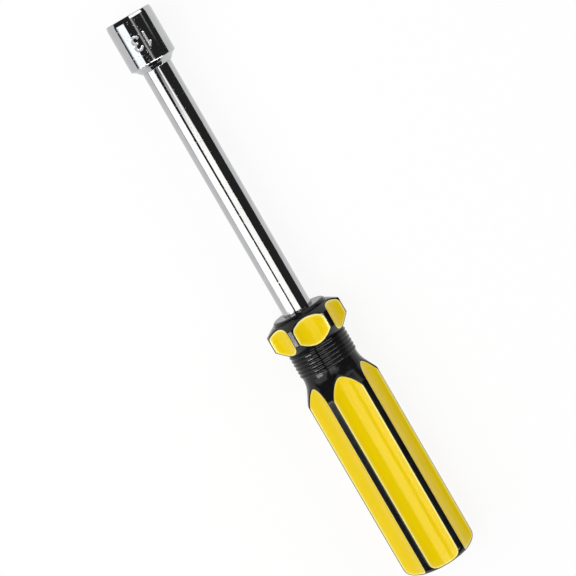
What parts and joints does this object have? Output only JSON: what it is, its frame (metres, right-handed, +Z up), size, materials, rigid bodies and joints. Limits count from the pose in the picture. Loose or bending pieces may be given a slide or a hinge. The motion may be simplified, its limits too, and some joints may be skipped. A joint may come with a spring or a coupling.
{
  "type": "nut driver",
  "caption": "Nut driver with a chromed hexagon socket on a hollow shaft, and a black handle with a collar, a ribbed neck and six flutes that are inlaid with yellow panels.",
  "frame": {"origin": "under the middle of the tool's length, on the surface that it lies on", "axes": "+X along the tool from the butt to the mouth of the socket, +Z up from the two flute edges that it lies on"},
  "size_m": [0.238, 0.031, 0.0279],
  "materials": {
    "chrome": "polished chrome plate on steel",
    "black_plastic": "satin to gloss black moulding",
    "yellow_plastic": "gloss yellow moulding"
  },
  "bodies": {
    "root": {"socket": "chrome", "shaft": "chrome", "handle_core": "black_plastic", "collar_panel_1": "yellow_plastic", "collar_panel_2": "yellow_plastic", "collar_panel_3": "yellow_plastic", "collar_panel_4": "yellow_plastic", "collar_panel_5": "yellow_plastic", "collar_panel_6": "yellow_plastic", "grip_panel_1": "yellow_plastic", "grip_panel_2": "yellow_plastic", "grip_panel_3": "yellow_plastic", "grip_panel_4": "yellow_plastic", "grip_panel_5": "yellow_plastic", "grip_panel_6": "yellow_plastic"}
  },
  "joints": []
}
